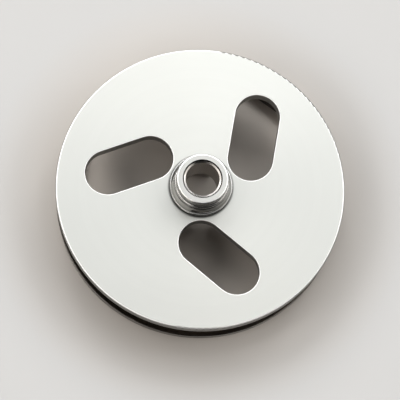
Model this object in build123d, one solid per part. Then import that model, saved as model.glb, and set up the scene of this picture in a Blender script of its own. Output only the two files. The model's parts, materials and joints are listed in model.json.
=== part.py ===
from build123d import *
import os
from math import atan2, cos, degrees, hypot, pi, radians, sin

# A metal film developing reel for 8 mm film, standing on its lower flange.
# The upper flange, its hub collar and the captive lock ring come off the core
# together as the ring is unscrewed from the threaded core sleeve.
# Origin: centre of the lower flange's underside. +Z: up along the hub.

# ---- Driving dimensions, millimetres and degrees ---------------------------

flange_diameter = 95.0
flange_thickness = 4.0
upper_edge_round = 0.6
lower_edge_round = 0.2
film_gap = 8.5  # clear width between the flanges, for 8 mm film
hub_height = 9.5  # from the upper flange's face to the top of the lock ring
repeats = 3  # windows, spokes and core segments go round in threes

# Upper flange: long slots set like a pinwheel round the hub
slot_width = 14.8
slot_offset = 14.5  # from the hub's axis to a slot's centre line
slot_inner_centre = 12.25  # end centres, measured along the slot
slot_outer_centre = 27.1
slot_edge_round = 0.3

# Lower flange: a rim with three flats inside it, and three inward spokes
rim_inner_radius = 44.5
rim_flat_distance = 41.1
rim_flat_angle = 64.0
spoke_angle = 106.0
spoke_width = 11.0
window_corner_round = 2.5

# Core: three arc segments under a core plate
core_radius = 13.0
core_inner_radius = 9.4
core_half_angle = 22.0
core_corner_round = 0.6
core_plate_thickness = 1.9
core_plate_radius = 9.9
core_play = 0.1  # between the core plate and the upper flange

# Core sleeve: the threaded tube whose bore takes a lifting rod
bore_radius = 5.5
sleeve_radius = 6.25
sleeve_below_ring = 0.5
sleeve_rim_drop = 0.28  # the bore's mouth is a shallow cone, this deep
sleeve_end_radius = 6.1  # the thread stops short of the sleeve's end
sleeve_end_height = 0.6
sleeve_rim_land = 0.05
sleeve_shoulder_radius = 7.4
sleeve_shoulder_height = 1.2
sleeve_mouth_radius = 6.7  # the bore flares out to this at its lower end

# Hub collar
collar_base_radius = 10.3
collar_base_height = 1.7
collar_base_round = 0.35
collar_base_undercut = 0.2  # the base is this much smaller where it meets the flange
collar_base_undercut_height = 1.0
collar_base_land = 9.85  # where the base's top meets the flare
collar_waist_radius = 9.0
collar_flare_radius = 4.0  # of the hollow between the base and the waist
collar_flare_height = 4.2  # where the hollow runs out into the straight waist
collar_height = 6.1
collar_shoulder_round = 0.6
collar_spigot_radius = 7.9
collar_guide_height = 5.1  # of the narrow bore that slides on the sleeve

# Lock ring
ring_radius = 8.5
ring_edge_round = 0.65
ring_lower_chamfer = 0.15
ring_skirt_radius = 7.3
ring_skirt_below = 4.4  # from the collar's top to the skirt's end
thread_pitch = 1.5
thread_turns = 4
running_clearance = 0.06

# Small parts
washer_radius = 8.0
washer_thickness = 0.3
washer_play = 0.05
snap_ring_height = 0.6
snap_groove_rise = 1.2  # from the skirt's end to the groove
snap_ring_width = 0.8
snap_groove_play = 0.1
snap_ring_opening = 30.0  # degrees of the circle left open
seal_wire_radius = 0.45
screw_radius = 0.8
screw_head_radius = 1.5
screw_head_depth = 0.8
screw_sink = 0.2  # the heads lie this far below the surface
base_screw_reach = 3.2  # into a core segment from below
top_screw_reach = 2.8  # into a core segment from above
collar_screw_reach = 1.6  # into the hub collar from below
drive_slot_width = 0.5
drive_slot_depth = 0.35
segment_screw_radius = 11.2
segment_screw_angle = 12.0  # to each side of a segment's middle
hub_circle_radius = 9.0  # collar screws and index pins
index_pin_radius = 0.8
index_pin_rise = 1.7
index_hole_play = 0.15

# Film clip
clip_pivot_radius = 9.3
clip_pivot_angle = 141.0
clip_pin_radius = 0.8
clip_pin_head_radius = 1.4
clip_pin_head_height = 0.45
clip_boss_radius = 1.7
clip_arm_inner = 7.6
clip_arm_outer = 8.75
clip_pad_thickness = 0.35
clip_pad_end = 126.0  # the pad stops short of the pivot, at this angle
clip_tip_angle = 110.0
clip_tail_radius = 8.6
clip_tail_angle = 165.0
clip_tail_width = 1.3
clip_height = 4.4
clip_boss_height = 3.6
clip_floor_gap = 0.6
clip_side_play = 0.05  # between the boss and the pin's head, and under the spring
clip_opening = 25.0  # how far the clip swings
spring_wire_radius = 0.2
spring_coil_radius = 1.15
spring_turns = 3
spring_pitch = 0.5
spring_leg_length = 3.2
spring_start_angle = -34.0  # where round the pin the coil begins, beside the arm's back

# ---- Levels worked out from the dimensions ---------------------------------

flange_radius = flange_diameter / 2
lower_top = flange_thickness
upper_bottom = lower_top + film_gap
upper_top = upper_bottom + flange_thickness
reel_top = upper_top + hub_height
plate_top = upper_bottom - core_play
plate_bottom = plate_top - core_plate_thickness
collar_top = upper_top + collar_height
ring_bottom = collar_top + washer_thickness + washer_play
sleeve_top = reel_top - sleeve_below_ring
sleeve_bottom = plate_bottom - sleeve_shoulder_height
bore_bottom = plate_top - core_play
guide_radius = sleeve_radius + running_clearance
counterbore_radius = ring_skirt_radius + running_clearance
counterbore_floor = upper_bottom + collar_guide_height
skirt_bottom = collar_top - ring_skirt_below
groove_bottom = skirt_bottom + snap_groove_rise
groove_height = snap_ring_height + 2 * snap_groove_play
snap_ring_outer = counterbore_radius + snap_ring_width / 2
snap_ring_inner = snap_ring_outer - snap_ring_width
seal_groove_middle = (ring_bottom + reel_top) / 2
clip_bottom = lower_top + clip_floor_gap
clip_top = clip_bottom + clip_height
turn_step = 360.0 / repeats


# ---- Helpers ---------------------------------------------------------------


def polar(radius, angle):
    """The point at a radius and an angle from the hub's axis."""
    return (radius * cos(radians(angle)), radius * sin(radians(angle)))


def round_about(shape, start=0.0):
    """The same shape at every third of a turn."""
    return [Rot(0, 0, start + turn_step * turn) * shape for turn in range(repeats)]


def add_all(shapes):
    """One body from several, or one group of separate solids."""
    total = shapes[0]
    for shape in shapes[1:]:
        total += shape
    return total


def cut_all(shape, cutters):
    for cutter in cutters:
        shape -= cutter
    return shape


def tube(outer, inner, bottom, top):
    """A plain ring about the hub's axis."""
    return Pos(0, 0, bottom) * extrude(Circle(outer) - Circle(inner), top - bottom)


def turned(outline):
    """A turned part from a closed outline of radius and height."""
    return revolve(Plane.XZ * make_face(outline), Axis.Z)


def wedge(from_angle, to_angle, reach):
    """A flat triangle from the axis, for cutting an arc out of a ring."""
    return make_face(
        Polyline((0, 0), polar(reach, from_angle), polar(reach, to_angle), close=True)
    )


def arc_band(inner, outer, from_angle, to_angle):
    """A stretch of a flat ring."""
    reach = 2 * outer
    return (Circle(outer) - Circle(inner)) & wedge(from_angle, to_angle, reach)


def flange_disc(bottom, edge_round):
    """A flange blank, with its outer edges rounded."""
    blank = Pos(0, 0, bottom) * extrude(Circle(flange_radius), flange_thickness)
    rims = blank.edges().filter_by(GeomType.CIRCLE)
    return fillet(rims, edge_round)


def screw_hole(length, head_radius=screw_head_radius):
    """The space of a countersunk screw: mouth at z = 0, going up."""
    mouth = extrude(Circle(head_radius), screw_sink)
    seat = Pos(0, 0, screw_sink + screw_head_depth / 2) * Cone(
        head_radius, screw_radius, screw_head_depth
    )
    shank = extrude(Circle(screw_radius), length)
    return mouth + seat + shank


def countersunk_screw(length, head_radius=screw_head_radius):
    """A slotted countersunk screw: its head's face is just above z = 0."""
    body = screw_hole(length, head_radius)
    mouth = extrude(Circle(head_radius), screw_sink)
    slot = Pos(0, 0, screw_sink + drive_slot_depth / 2) * Box(
        3 * head_radius, drive_slot_width, drive_slot_depth
    )
    return body - mouth - slot


def segment_screw_places():
    """Two places on each core segment."""
    return [
        Pos(*polar(segment_screw_radius, spoke_angle + turn_step * turn + side))
        for turn in range(repeats)
        for side in (-segment_screw_angle, segment_screw_angle)
    ]


def hub_circle_places(start):
    return [
        Pos(*polar(hub_circle_radius, start + turn_step * turn))
        for turn in range(repeats)
    ]


base_screw_length = lower_top + base_screw_reach
top_screw_length = core_plate_thickness + top_screw_reach
collar_screw_length = flange_thickness + collar_screw_reach
collar_screw_start = spoke_angle - turn_step / 2
from_above = Rot(180, 0, 0)


# ---- Lower half: everything fixed to the lower flange ------------------------


def make_lower_flange():
    beyond = 2 * flange_radius
    opening = Sketch() + Circle(rim_inner_radius)
    flat = Pos(rim_flat_distance + beyond / 2, 0) * Rectangle(beyond, 2 * beyond)
    opening = cut_all(opening, round_about(flat, rim_flat_angle))
    spoke = Pos(beyond / 2, 0) * Rectangle(beyond, spoke_width)
    opening = cut_all(opening, round_about(spoke, spoke_angle))
    outer_corners = [
        corner
        for corner in opening.vertices()
        if hypot(corner.X, corner.Y) > rim_flat_distance
    ]
    opening = fillet(outer_corners, window_corner_round)
    opening += Circle(core_inner_radius)
    flange = flange_disc(0, lower_edge_round) - extrude(opening, flange_thickness)
    holes = [place * screw_hole(base_screw_length) for place in segment_screw_places()]
    return cut_all(flange, holes)


def make_core_segment(turn):
    middle = spoke_angle + turn_step * turn
    band = arc_band(
        core_inner_radius, core_radius, middle - core_half_angle, middle + core_half_angle
    )
    segment = Pos(0, 0, lower_top) * extrude(band, plate_bottom - lower_top)
    segment = fillet(segment.edges().filter_by(Axis.Z), core_corner_round)
    for place in segment_screw_places():
        segment -= place * screw_hole(base_screw_length)
        segment -= place * Pos(0, 0, plate_top) * from_above * screw_hole(top_screw_length)
    return segment


def make_core_plate():
    outline = Sketch() + Circle(core_plate_radius)
    for turn in range(repeats):
        middle = spoke_angle + turn_step * turn
        outline += arc_band(
            core_inner_radius, core_radius, middle - core_half_angle, middle + core_half_angle
        )
    outline -= Circle(sleeve_radius)
    outline -= Pos(*polar(clip_pivot_radius, clip_pivot_angle)) * Circle(clip_pin_radius)
    for place in hub_circle_places(spoke_angle):
        outline -= place * Circle(index_pin_radius)
    plate = Pos(0, 0, plate_bottom) * extrude(outline, core_plate_thickness)
    for place in segment_screw_places():
        plate -= place * Pos(0, 0, plate_top) * from_above * screw_hole(top_screw_length)
    return plate - spring_anchor()


def make_core_sleeve():
    """A bore with a countersunk mouth, a plain end, and a shoulder under the core plate."""
    thread_top = sleeve_top - sleeve_end_height
    thread_chamfer = sleeve_radius - sleeve_end_radius
    outline = Polyline(
        (bore_radius, bore_bottom),
        (bore_radius, sleeve_top - sleeve_rim_drop),
        (sleeve_end_radius - sleeve_rim_land, sleeve_top),
        (sleeve_end_radius, sleeve_top - sleeve_rim_land),
        (sleeve_end_radius, thread_top),
        (sleeve_radius, thread_top - thread_chamfer),
        (sleeve_radius, plate_bottom),
        (sleeve_shoulder_radius, plate_bottom),
        (sleeve_shoulder_radius, sleeve_bottom),
        (sleeve_mouth_radius, sleeve_bottom),
        close=True,
    )
    return turned(outline)


def make_base_screws():
    screw = countersunk_screw(base_screw_length)
    return add_all([place * screw for place in segment_screw_places()])


def make_top_screws():
    screw = Pos(0, 0, plate_top) * from_above * countersunk_screw(top_screw_length)
    return add_all([place * screw for place in segment_screw_places()])


def make_index_pins():
    """Dowels that line the upper flange's windows up with the core."""
    pin = Pos(0, 0, plate_bottom) * extrude(
        Circle(index_pin_radius), core_plate_thickness + index_pin_rise
    )
    tip = pin.edges().filter_by(GeomType.CIRCLE).sort_by(Axis.Z)[-1]
    pin = chamfer(tip, index_pin_radius / 3)
    return add_all([place * pin for place in hub_circle_places(spoke_angle)])


# ---- Film clip: pin and spring stay with the core, the clip swings -----------


def clip_place():
    return Pos(*polar(clip_pivot_radius, clip_pivot_angle))


def make_clip_pin():
    head_bottom = clip_bottom - clip_pin_head_height
    head = Pos(0, 0, head_bottom) * extrude(
        Circle(clip_pin_head_radius), clip_pin_head_height - clip_side_play
    )
    shank = Pos(0, 0, head_bottom) * extrude(Circle(clip_pin_radius), plate_top - head_bottom)
    return clip_place() * (head + shank)


def clip_tail():
    """A flat bar with a round end, for a fingertip to push."""
    pivot = Vector(*polar(clip_pivot_radius, clip_pivot_angle))
    end = Vector(*polar(clip_tail_radius, clip_tail_angle))
    reach = end - pivot
    middle = (pivot + end) / 2
    heading = degrees(atan2(reach.Y, reach.X))
    bar = SlotCenterToCenter(reach.length, clip_tail_width)
    return Pos(middle.X, middle.Y) * Rot(0, 0, heading) * bar


def make_film_clip():
    """An arm that lies inside a core segment, on a boss that turns on the pin."""
    arm = arc_band(clip_arm_inner, clip_arm_outer, clip_tip_angle, clip_pivot_angle)
    middle = (clip_arm_inner + clip_arm_outer) / 2
    tip_round = Circle((clip_arm_outer - clip_arm_inner) / 2)
    arm += Pos(*polar(middle, clip_tip_angle)) * tip_round
    lever = Pos(0, 0, clip_bottom) * extrude(arm, clip_height)
    tail = Pos(0, 0, clip_bottom) * extrude(clip_tail(), clip_boss_height)
    boss = clip_place() * Pos(0, 0, clip_bottom) * extrude(
        Circle(clip_boss_radius), clip_boss_height
    )
    above_boss = clip_place() * Pos(0, 0, clip_bottom + clip_boss_height) * extrude(
        Circle(clip_boss_radius), clip_height
    )
    hole = clip_place() * Pos(0, 0, clip_bottom) * extrude(
        Circle(clip_pin_radius + running_clearance), clip_height
    )
    return lever - above_boss + boss + tail - hole


def make_clip_pad():
    """The rubber strip on the arm that holds the film's end to the core."""
    pad = arc_band(
        clip_arm_outer, clip_arm_outer + clip_pad_thickness, clip_tip_angle, clip_pad_end
    )
    return Pos(0, 0, clip_bottom) * extrude(pad, clip_height)


def spring_start():
    return clip_bottom + clip_boss_height + spring_wire_radius + clip_side_play


def spring_anchor():
    """The spring's upright end, where it enters the core plate."""
    coil_top = spring_start() + spring_turns * spring_pitch
    rise = plate_bottom + core_plate_thickness / 2 - coil_top
    upright = Pos(spring_coil_radius, 0, coil_top) * extrude(
        Circle(spring_wire_radius), rise
    )
    return clip_place() * Rot(0, 0, spring_start_angle) * upright


def make_clip_spring():
    height = spring_turns * spring_pitch
    path = Helix(pitch=spring_pitch, height=height, radius=spring_coil_radius)
    section = Plane(origin=path @ 0, z_dir=path % 0) * Circle(spring_wire_radius)
    coil = Pos(0, 0, spring_start()) * sweep(section, path=path)
    leg = Pos(spring_coil_radius, -spring_leg_length, spring_start()) * Rot(-90, 0, 0) * extrude(
        Circle(spring_wire_radius), spring_leg_length
    )
    joints = [
        Pos(spring_coil_radius, 0, spring_start() + level) * Sphere(spring_wire_radius)
        for level in (0, height)
    ]
    spring = clip_place() * Rot(0, 0, spring_start_angle) * (coil + leg + joints[0] + joints[1])
    return spring + spring_anchor()


# ---- Upper half: rises with the lock ring ------------------------------------


def slot_outlines():
    length = slot_outer_centre - slot_inner_centre
    middle = (slot_outer_centre + slot_inner_centre) / 2
    slot = Pos(slot_offset, middle) * Rot(0, 0, 90) * SlotCenterToCenter(length, slot_width)
    return round_about(slot)


def make_upper_flange():
    flange = flange_disc(upper_bottom, upper_edge_round)
    cutters = [
        Pos(0, 0, upper_bottom) * extrude(slot, flange_thickness) for slot in slot_outlines()
    ]
    flange = cut_all(flange, cutters)
    top_face = flange.faces().filter_by(Plane.XY).sort_by(Axis.Z)[-1]
    slot_edges = [edge for wire in top_face.inner_wires() for edge in wire.edges()]
    flange = fillet(slot_edges, slot_edge_round)
    flange -= Pos(0, 0, upper_bottom) * extrude(Circle(collar_spigot_radius), flange_thickness)
    for place in hub_circle_places(collar_screw_start):
        flange -= place * Pos(0, 0, upper_bottom) * screw_hole(collar_screw_length)
    for place in hub_circle_places(spoke_angle):
        flange -= place * Pos(0, 0, upper_bottom) * extrude(
            Circle(index_pin_radius + index_hole_play), index_pin_rise + core_play
        )
    return flange


def make_hub_collar():
    """Spigot, rounded base, concave flare, straight waist and shoulder, bored for the sleeve."""
    base_top = upper_top + collar_base_height
    flare_top = upper_top + collar_flare_height
    waist_top = collar_top - collar_shoulder_round
    base_corner = collar_base_radius - collar_base_round
    shoulder_edge = collar_waist_radius - collar_shoulder_round
    outline = [
        Polyline(
            (guide_radius, upper_bottom),
            (collar_spigot_radius, upper_bottom),
            (collar_spigot_radius, upper_top),
            (collar_base_radius - collar_base_undercut, upper_top),
            (collar_base_radius, upper_top + collar_base_undercut_height),
            (collar_base_radius, base_top - collar_base_round),
        ),
        RadiusArc(
            (collar_base_radius, base_top - collar_base_round),
            (base_corner, base_top),
            -collar_base_round,
        ),
        Line((base_corner, base_top), (collar_base_land, base_top)),
        RadiusArc(
            (collar_base_land, base_top), (collar_waist_radius, flare_top), collar_flare_radius
        ),
        Line((collar_waist_radius, flare_top), (collar_waist_radius, waist_top)),
        RadiusArc(
            (collar_waist_radius, waist_top),
            (shoulder_edge, collar_top),
            -collar_shoulder_round,
        ),
        Polyline(
            (shoulder_edge, collar_top),
            (counterbore_radius, collar_top),
            (counterbore_radius, counterbore_floor),
            (guide_radius, counterbore_floor),
            (guide_radius, upper_bottom),
        ),
    ]
    collar = turned(outline)
    groove_depth = snap_ring_outer + snap_groove_play
    collar -= tube(groove_depth, counterbore_radius, groove_bottom, groove_bottom + groove_height)
    for place in hub_circle_places(collar_screw_start):
        collar -= place * Pos(0, 0, upper_bottom) * screw_hole(collar_screw_length)
    return collar


def make_collar_screws():
    screw = Pos(0, 0, upper_bottom) * countersunk_screw(collar_screw_length)
    return add_all([place * screw for place in hub_circle_places(collar_screw_start)])


def make_snap_ring():
    """The open ring that keeps the lock ring in the collar."""
    bottom = groove_bottom + snap_groove_play
    band = arc_band(
        snap_ring_inner, snap_ring_outer, -snap_ring_opening / 2, snap_ring_opening / 2
    )
    ring = Circle(snap_ring_outer) - Circle(snap_ring_inner) - band
    return Pos(0, 0, bottom) * extrude(ring, snap_ring_height)


def make_thrust_washer():
    return tube(washer_radius, counterbore_radius, collar_top, collar_top + washer_thickness)


# ---- Lock ring ---------------------------------------------------------------


def make_lock_ring():
    """A headed bush: the head is turned by hand, the skirt sits in the collar."""
    top_land = ring_radius - ring_edge_round
    shoulder = reel_top - ring_edge_round
    inner_edge = running_clearance * 2
    outline = [
        Polyline(
            (guide_radius, skirt_bottom),
            (ring_skirt_radius, skirt_bottom),
            (ring_skirt_radius, ring_bottom),
            (ring_radius - ring_lower_chamfer, ring_bottom),
            (ring_radius, ring_bottom + ring_lower_chamfer),
            (ring_radius, shoulder),
        ),
        RadiusArc((ring_radius, shoulder), (top_land, reel_top), -ring_edge_round),
        Polyline(
            (top_land, reel_top),
            (guide_radius + inner_edge, reel_top),
            (guide_radius, reel_top - inner_edge),
            (guide_radius, skirt_bottom),
        ),
    ]
    ring = turned(outline)
    groove_floor = snap_ring_inner - snap_groove_play
    ring -= tube(ring_skirt_radius, groove_floor, groove_bottom, groove_bottom + groove_height)
    seal_bottom = seal_groove_middle - seal_wire_radius
    seal_top = seal_groove_middle + seal_wire_radius
    ring -= tube(guide_radius + 2 * seal_wire_radius, guide_radius, seal_bottom, seal_top)
    return ring


def make_thread_seal():
    """An O-ring that drags on the thread, so that the ring stays where it is."""
    middle = guide_radius + seal_wire_radius
    return Pos(0, 0, seal_groove_middle) * Torus(middle, seal_wire_radius)


# ---- Write every part --------------------------------------------------------

parts = {
    "lower_flange": make_lower_flange(),
    "core_plate": make_core_plate(),
    "core_sleeve": make_core_sleeve(),
    "segment_base_screws": make_base_screws(),
    "segment_top_screws": make_top_screws(),
    "index_pins": make_index_pins(),
    "clip_pin": make_clip_pin(),
    "clip_spring": make_clip_spring(),
    "film_clip": make_film_clip(),
    "clip_pad": make_clip_pad(),
    "upper_flange": make_upper_flange(),
    "hub_collar": make_hub_collar(),
    "collar_screws": make_collar_screws(),
    "snap_ring": make_snap_ring(),
    "thrust_washer": make_thrust_washer(),
    "lock_ring": make_lock_ring(),
    "thread_seal": make_thread_seal(),
}
for number in range(repeats):
    parts[f"core_segment_{number + 1}"] = make_core_segment(number)

os.makedirs("parts", exist_ok=True)
for name, shape in parts.items():
    export_step(shape, f"parts/{name}.step")

thread_travel = thread_pitch * thread_turns
bore_length = sleeve_top - sleeve_rim_drop - bore_bottom
pivot_x, pivot_y = polar(clip_pivot_radius, clip_pivot_angle)
print(f"reel height {reel_top} mm, bore length {bore_length:.2f} mm from z {bore_bottom:.2f}")
print(f"thread travel {thread_travel} mm, {thread_pitch / (2 * pi):.6f} mm per radian")
print(f"clip pivot at {pivot_x:.4f}, {pivot_y:.4f} mm, opens {clip_opening} degrees")
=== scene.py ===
import json
from math import cos, pi, radians, sin

import bpy
from mathutils import Matrix, Vector


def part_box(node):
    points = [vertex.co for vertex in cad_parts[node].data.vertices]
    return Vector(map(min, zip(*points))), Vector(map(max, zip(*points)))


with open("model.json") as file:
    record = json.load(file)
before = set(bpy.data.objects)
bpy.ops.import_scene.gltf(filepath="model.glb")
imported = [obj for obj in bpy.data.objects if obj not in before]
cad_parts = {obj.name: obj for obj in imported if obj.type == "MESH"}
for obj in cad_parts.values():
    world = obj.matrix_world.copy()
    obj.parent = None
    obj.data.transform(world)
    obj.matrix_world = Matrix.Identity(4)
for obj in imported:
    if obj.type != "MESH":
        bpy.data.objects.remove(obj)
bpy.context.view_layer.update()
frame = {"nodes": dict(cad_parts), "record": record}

# ---- Driving values: metres and degrees; brightness is radiance ----------------

# Camera: a long lens looking steeply down, held at a slant
camera_azimuth = -94.0
camera_elevation = 75.0
camera_distance = 0.5167
camera_lens = 142.4
camera_slant = 14.16
camera_nearest = 0.01
sensor_width = 36.0  # millimetres, as the lens is
aim_aside = (0.0005, -0.00464)

# Light: soft panels in a bow behind the reel and round both its sides, dark on the camera's side.
# Each has an azimuth, an elevation, a width and height in metres, a brightness and a colour.
panel_distance = 3.0
neutral = (1.0, 1.0, 1.0)
warm = (1.0, 0.955, 0.91)
bow_elevation = 38.0
bow_size = (2.48, 1.32)  # wide enough for neighbours in the bow to meet
high_elevation = 62.0
high_size = (1.60, 1.28)
top_elevation = 88.0
top_size = (0.50, 0.50)
panels = {
    "back": (90.0, bow_elevation, bow_size, 4.25, neutral),
    "back_left": (135.0, bow_elevation, bow_size, 4.25, neutral),
    "back_right": (45.0, bow_elevation, bow_size, 3.3, neutral),
    "back_high": (90.0, high_elevation, high_size, 1.4, neutral),
    "right_high": (30.0, high_elevation, high_size, 0.7, neutral),
    "top": (90.0, top_elevation, top_size, 4.0, neutral),
    "left": (180.0, bow_elevation, bow_size, 2.5, warm),
    "front_left": (225.0, bow_elevation, bow_size, 3.4, warm),
    "right": (0.0, bow_elevation, bow_size, 2.2, warm),
}
room_tone = (0.0, 0.0, 0.0, 1.0)

floor_size = 6.0
floor_grain = 0.0006
floor_mottle = 0.12
floor_colour = (0.52, 0.52, 0.515, 1.0)
# painted warm shade on the table round the reel
painted_warm_shade_colour = (0.52, 0.482, 0.44, 1.0)  # near the reel
painted_warm_shade_reach = (0.042, 0.072)
floor_tone = (0.98, 1.02)
floor_roughness = (0.75, 0.85)
floor_shine = 0.2
floor_relief = 0.1

# Metals. Wall, underside and lower-flange colours are darker, warmer copies of the lit face colours:
# painted shade.
bright_steel = (0.636, 0.647, 0.622, 1.0)
rim_wall = (0.30, 0.293, 0.282, 1.0)
# painted highlight along rounded upper edges
painted_edge_highlight = (0.97, 0.97, 0.96, 1.0)
hub_face = (0.62, 0.622, 0.60, 1.0)
hub_wall = (0.30, 0.298, 0.29, 1.0)
# a dimmer painted highlight on the collar's upper edges
hub_edge = (0.44, 0.438, 0.43, 1.0)
# lower flange face and undersides: darker, warmer painted shade
shaded_steel = (0.24, 0.215, 0.19, 1.0)
# near black: painted shade in the gap between the flanges
lower_wall = (0.07, 0.066, 0.06, 1.0)
sleeve_face = (0.34, 0.335, 0.325, 1.0)
sleeve_wall = (0.34, 0.31, 0.28, 1.0)
# darker and warmer than steel: painted shade inside the reel
core_colour = (0.27, 0.24, 0.21)
screw_colour = (0.66, 0.655, 0.64)
wire_colour = (0.45, 0.45, 0.46)
washer_colour = (0.02, 0.02, 0.02)
rubber_colour = (0.015, 0.015, 0.016)
groove_width = 0.00012
groove_depth = 0.000004
groove_relief = 0.4
band_width = 0.003
band_tone = (-0.02, 0.02)
stain_width = 0.022
stain_tone = (0.975, 1.01)
wear = 0.03  # how far grooves and stains change the roughness, each way
# a wall's colour is a darker copy of the face's: painted shade
wall_end = 0.60  # a surface whose normal rises less than this has a wall's finish
face_start = 0.99  # and one whose normal rises more than this has a face's
flat_start = 0.997  # below this the surface is turning over an edge
# painted shade where the collar stands on the flange: how high, how wide and how dark
painted_shade_height = 0.0014
painted_shade_width = 0.0007
painted_seam_shade = 0.12

# Other finishes
patch_scale = 300.0
patch_tone = (0.9, 1.08)
grain_wear = 0.06
grain_relief = 0.3
fine_grain = 0.0001


# ---- Node helpers -------------------------------------------------------------


class Nodes:
    """A short way to make and join shader nodes."""

    def __init__(self, material):
        material.use_nodes = True
        self.tree = material.node_tree
        self.tree.nodes.clear()

    def add(self, kind, **settings):
        node = self.tree.nodes.new(kind)
        for name, value in settings.items():
            setattr(node, name, value)
        return node

    def join(self, source, target):
        self.tree.links.new(source, target)

    def number(self, operation, first, second=None):
        """A Math node on two sockets or numbers."""
        node = self.add("ShaderNodeMath", operation=operation)
        for socket, value in zip(node.inputs, (first, second)):
            if value is None:
                continue
            if isinstance(value, (int, float)):
                socket.default_value = value
            else:
                self.join(value, socket)
        return node.outputs[0]

    def spread(self, value, low, high, start=0.0, end=1.0):
        """Takes start..end to low..high."""
        node = self.add("ShaderNodeMapRange")
        node.inputs["From Min"].default_value = start
        node.inputs["From Max"].default_value = end
        node.inputs["To Min"].default_value = low
        node.inputs["To Max"].default_value = high
        self.join(value, node.inputs["Value"])
        return node.outputs["Result"]

    def mix(self, factor, first, second):
        """A blend of two colours; the first may be a socket."""
        node = self.add("ShaderNodeMix", data_type="RGBA")
        colour_in = [socket for socket in node.inputs if socket.type == "RGBA"]
        self.join(factor, node.inputs["Factor"])
        if isinstance(first, tuple):
            colour_in[0].default_value = first
        else:
            self.join(first, colour_in[0])
        colour_in[1].default_value = second
        return next(socket for socket in node.outputs if socket.type == "RGBA")

    def scale(self, colour, amount):
        """A colour made lighter or darker."""
        node = self.add("ShaderNodeVectorMath", operation="SCALE")
        self.join(colour, node.inputs[0])
        self.join(amount, node.inputs["Scale"])
        return node.outputs[0]

    def noise(self, vector, scale, detail=2.0):
        node = self.add("ShaderNodeTexNoise")
        node.inputs["Scale"].default_value = scale
        node.inputs["Detail"].default_value = detail
        self.join(vector, node.inputs["Vector"])
        return node.outputs["Fac"]

    def relief(self, shader, height, strength, distance):
        """Raises the shader's surface by a pattern, as a bump."""
        bump = self.add("ShaderNodeBump")
        bump.inputs["Strength"].default_value = strength
        bump.inputs["Distance"].default_value = distance
        self.join(height, bump.inputs["Height"])
        self.join(bump.outputs[0], shader.inputs["Normal"])

    def finish(self, shader):
        output = self.add("ShaderNodeOutputMaterial")
        self.join(shader.outputs[0], output.inputs["Surface"])


def radius_and_height(nodes, point):
    """Distance from the piece's upright axis, and height, in metres."""
    split = nodes.add("ShaderNodeSeparateXYZ")
    nodes.join(point, split.inputs[0])
    across = nodes.number("MULTIPLY", split.outputs["X"], split.outputs["X"])
    along = nodes.number("MULTIPLY", split.outputs["Y"], split.outputs["Y"])
    return nodes.number("SQRT", nodes.number("ADD", across, along)), split.outputs["Z"]


# ---- Materials ----------------------------------------------------------------


def facing_masks(nodes):
    """How far a surface looks up, how far it looks down, and how far it turns over an upper edge."""
    facing = nodes.add("ShaderNodeSeparateXYZ")
    nodes.join(nodes.add("ShaderNodeTexCoord").outputs["Normal"], facing.inputs[0])
    rise = facing.outputs["Z"]
    looks_up = nodes.spread(rise, 0.0, 1.0, wall_end, face_start)
    looks_down = nodes.spread(rise, 1.0, 0.0, -face_start, -wall_end)
    not_flat = nodes.number("LESS_THAN", rise, flat_start)
    return looks_up, looks_down, nodes.number("MULTIPLY", looks_up, not_flat)


def turned_metal(name, face, wall, under, anisotropy, edge_colour=None, foot=None, inner_edge=None):
    """Lathe-turned metal: fine rings round the piece's upright axis, soft stains, fine wear.

    Face, wall and under are each a colour and a roughness, for surfaces that look up,
    upright walls and undersides, which are turned finer or coarser; the wall and underside colours
    are darker, as painted shade.
    The edge colour is painted on upper edges: a painted highlight where it is lighter, painted shade
    where it is darker.
    Foot is the height, and inner edge the radius, of a joint beside which a dark line of painted
    shade is drawn.
    """
    material = bpy.data.materials.new(name)
    nodes = Nodes(material)
    place = nodes.add("ShaderNodeTexCoord").outputs["Object"]
    radius, height = radius_and_height(nodes, place)
    ring_place = nodes.add("ShaderNodeCombineXYZ")
    nodes.join(radius, ring_place.inputs["X"])
    nodes.join(height, ring_place.inputs["Z"])
    rings = nodes.noise(ring_place.outputs[0], 1.0 / groove_width, 3.0)
    bands = nodes.noise(ring_place.outputs[0], 1.0 / band_width, 2.0)
    stains = nodes.noise(place, 1.0 / stain_width, 4.0)
    looks_up, looks_down, turns_over = facing_masks(nodes)
    face_colour, face_roughness = face
    wall_colour, wall_roughness = wall
    under_colour, under_roughness = under

    shader = nodes.add("ShaderNodeBsdfPrincipled")
    shader.inputs["Metallic"].default_value = 1.0
    shader.inputs["Anisotropic"].default_value = anisotropy
    colour = nodes.mix(looks_up, wall_colour, face_colour)
    colour = nodes.mix(looks_down, colour, under_colour)
    # paints the edge colour where a surface turns over an edge: a painted highlight, or painted
    # shade on the lower flange
    if edge_colour is not None:
        colour = nodes.mix(turns_over, colour, edge_colour)
    tone = nodes.number("ADD", nodes.spread(bands, *band_tone), nodes.spread(stains, *stain_tone))
    # painted shade at the collar's joint with the flange
    if foot is not None:
        unshaded = nodes.spread(height, painted_seam_shade, 1.0, foot, foot + painted_shade_height)
        tone = nodes.number("MULTIPLY", tone, unshaded)
    if inner_edge is not None:
        unshaded = nodes.spread(radius, painted_seam_shade, 1.0, inner_edge, inner_edge + painted_shade_width)
        tone = nodes.number("MULTIPLY", tone, unshaded)
    nodes.join(nodes.scale(colour, tone), shader.inputs["Base Color"])

    rough = nodes.spread(looks_up, wall_roughness, face_roughness)
    under_change = nodes.spread(looks_down, 0.0, under_roughness - wall_roughness)
    rough = nodes.number("ADD", rough, under_change)
    for pattern in (rings, stains):
        rough = nodes.number("ADD", rough, nodes.spread(pattern, -wear, wear))
    nodes.join(rough, shader.inputs["Roughness"])
    tangent = nodes.add("ShaderNodeTangent", direction_type="RADIAL", axis="Z")
    nodes.join(tangent.outputs[0], shader.inputs["Tangent"])
    nodes.relief(shader, rings, groove_relief, groove_depth)
    nodes.finish(shader)
    return material


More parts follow.
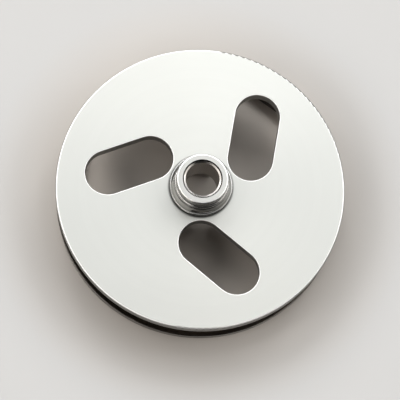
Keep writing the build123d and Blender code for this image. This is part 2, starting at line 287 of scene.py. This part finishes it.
def plain_finish(name, colour, roughness, metallic, grain, grain_depth):
    """Fine-grained finish for screws, wire, rubber and plastic."""
    material = bpy.data.materials.new(name)
    nodes = Nodes(material)
    place = nodes.add("ShaderNodeTexCoord").outputs["Object"]
    grain_noise = nodes.noise(place, 1.0 / grain, 3.0)
    patches = nodes.noise(place, patch_scale, 2.0)
    shader = nodes.add("ShaderNodeBsdfPrincipled")
    shader.inputs["Metallic"].default_value = metallic
    tint = nodes.add("ShaderNodeVectorMath", operation="SCALE")
    tint.inputs[0].default_value = colour
    nodes.join(nodes.spread(patches, *patch_tone), tint.inputs["Scale"])
    nodes.join(tint.outputs[0], shader.inputs["Base Color"])
    rough = nodes.spread(grain_noise, roughness - grain_wear, roughness + grain_wear)
    nodes.join(rough, shader.inputs["Roughness"])
    nodes.relief(shader, grain_noise, grain_relief, grain_depth)
    nodes.finish(shader)
    return material


def make_flange_steel():
    """The upper flange's; painted shade darkens a narrow ring round the collar that stands on it."""
    collar_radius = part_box("hub_collar")[1].x - collar_origin.x
    return turned_metal(
        "flange_turned",
        face=(bright_steel, 0.55),
        wall=(rim_wall, 0.5),
        under=shaded_under,
        anisotropy=0.4,
        edge_colour=painted_edge_highlight,
        inner_edge=collar_radius,
    )


# The lower flange is all painted shade: a dark face and near-black walls and edges.
def make_lower_steel():
    return turned_metal(
        "lower_flange_turned",
        face=(shaded_steel, 0.2),
        wall=(lower_wall, 0.2),
        under=shaded_under,
        anisotropy=0.4,
        edge_colour=lower_wall,
    )


def make_hub_steel():
    """The lock ring's and its neighbours'."""
    return turned_metal(
        "hub_turned",
        face=(hub_face, 0.42),
        wall=(hub_wall, 0.1),
        under=shaded_under,
        anisotropy=0.0,
        edge_colour=painted_edge_highlight,
    )


def make_collar_steel():
    """As the hub's, with painted shade low on the collar, where it stands on the flange."""
    return turned_metal(
        "collar_turned",
        face=(hub_face, 0.3),
        wall=(hub_wall, 0.1),
        under=shaded_under,
        anisotropy=0.0,
        edge_colour=hub_edge,
        foot=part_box("upper_flange")[1].z - collar_origin.z,
    )


# The sleeve's walls are darker and warmer than its face: painted shade.
def make_sleeve_steel():
    return turned_metal(
        "sleeve_turned",
        face=(sleeve_face, 0.25),
        wall=(sleeve_wall, 0.24),
        under=shaded_under,
        anisotropy=0.2,
    )


# Undersides of every turned piece: darker, warmer painted shade.
shaded_under = (shaded_steel, 0.3)
collar_origin = frame["nodes"]["hub_collar"].matrix_world.translation
materials = {
    "flange_steel": make_flange_steel(),
    "hub_steel": make_hub_steel(),
    "core_steel": plain_finish("core_satin", core_colour, 0.35, 1.0, 0.0002, 0.000005),
    "screw_steel": plain_finish("screw_bright", screw_colour, 0.24, 1.0, fine_grain, 0.000003),
    "spring_steel": plain_finish("spring_wire", wire_colour, 0.3, 1.0, fine_grain, 0.000003),
    "washer_plastic": plain_finish("washer_black", washer_colour, 0.5, 0.0, fine_grain, 0.000005),
    "seal_rubber": plain_finish("seal_rubber", rubber_colour, 0.65, 0.0, fine_grain, 0.00001),
}
own_material = {
    "lower_flange": make_lower_steel(),
    "core_sleeve": make_sleeve_steel(),
    "hub_collar": make_collar_steel(),
}
slot_of = {part["node"]: part["material_slot"] for part in frame["record"]["subparts"]}
for node_name, node in frame["nodes"].items():
    node.data.materials.clear()
    node.data.materials.append(own_material.get(node_name, materials[slot_of[node_name]]))


# ---- Floor, light and camera ----------------------------------------------------


def direction(azimuth, elevation):
    """A unit vector; azimuth is counted from +X towards +Y."""
    flat = cos(radians(elevation))
    return Vector(
        (flat * cos(radians(azimuth)), flat * sin(radians(azimuth)), sin(radians(elevation)))
    )


def make_floor():
    """A plain pale table top, with painted warm shade round where the reel stands."""
    half = floor_size / 2
    mesh = bpy.data.meshes.new("floor")
    corners = [(-half, -half, 0), (half, -half, 0), (half, half, 0), (-half, half, 0)]
    mesh.from_pydata(corners, [], [(0, 1, 2, 3)])
    floor = bpy.data.objects.new("floor", mesh)
    bpy.context.scene.collection.objects.link(floor)
    material = bpy.data.materials.new("floor_paper")
    nodes = Nodes(material)
    place = nodes.add("ShaderNodeTexCoord").outputs["Object"]
    fibre = nodes.noise(place, 1.0 / floor_grain, 3.0)
    mottle = nodes.noise(place, 1.0 / floor_mottle, 2.0)
    shader = nodes.add("ShaderNodeBsdfPrincipled")
    radius, _ = radius_and_height(nodes, place)
    # painted warm shade near the reel, fading out by the far reach
    away = nodes.spread(radius, 0.0, 1.0, *painted_warm_shade_reach)
    paper = nodes.mix(away, painted_warm_shade_colour, floor_colour)
    nodes.join(nodes.scale(paper, nodes.spread(mottle, *floor_tone)), shader.inputs["Base Color"])
    nodes.join(nodes.spread(fibre, *floor_roughness), shader.inputs["Roughness"])
    shader.inputs["Specular IOR Level"].default_value = floor_shine
    nodes.relief(shader, fibre, floor_relief, floor_grain / 10)
    nodes.finish(shader)
    mesh.materials.append(material)


def make_panel(name, azimuth, elevation, size, brightness, colour):
    """A soft light that faces the reel; brightness is its radiance."""
    width, height = size
    light = bpy.data.lights.new(name, "AREA")
    light.shape = "RECTANGLE"
    light.size = width
    light.size_y = height
    light.energy = brightness * pi * width * height
    light.color = colour
    panel = bpy.data.objects.new(name, light)
    panel.location = direction(azimuth, elevation) * panel_distance
    panel.rotation_euler = (-panel.location).to_track_quat("-Z", "Y").to_euler()
    bpy.context.scene.collection.objects.link(panel)


def make_room():
    world = bpy.data.worlds.new("room")
    world.use_nodes = True
    world.node_tree.nodes["Background"].inputs["Color"].default_value = room_tone
    bpy.context.scene.world = world


def make_camera():
    """Looks at a point on the upper flange's face, rolled about its own axis."""
    aim = Vector((*aim_aside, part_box("upper_flange")[1].z))
    back = direction(camera_azimuth, camera_elevation)
    right = Vector((0, 0, 1)).cross(back).normalized()
    up = back.cross(right)
    slant = radians(camera_slant)
    slanted_right = cos(slant) * right + sin(slant) * up
    slanted_up = cos(slant) * up - sin(slant) * right
    camera = bpy.data.objects.new("camera", bpy.data.cameras.new("camera"))
    camera.data.lens = camera_lens
    camera.data.sensor_width = sensor_width
    camera.data.clip_start = camera_nearest
    camera.matrix_world = Matrix.Translation(aim + back * camera_distance) @ Matrix(
        (slanted_right, slanted_up, back)
    ).transposed().to_4x4()
    bpy.context.scene.collection.objects.link(camera)
    bpy.context.scene.camera = camera


make_floor()
make_room()
for name, settings in panels.items():
    make_panel(name, *settings)
make_camera()
bpy.context.scene.view_settings.view_transform = "Standard"
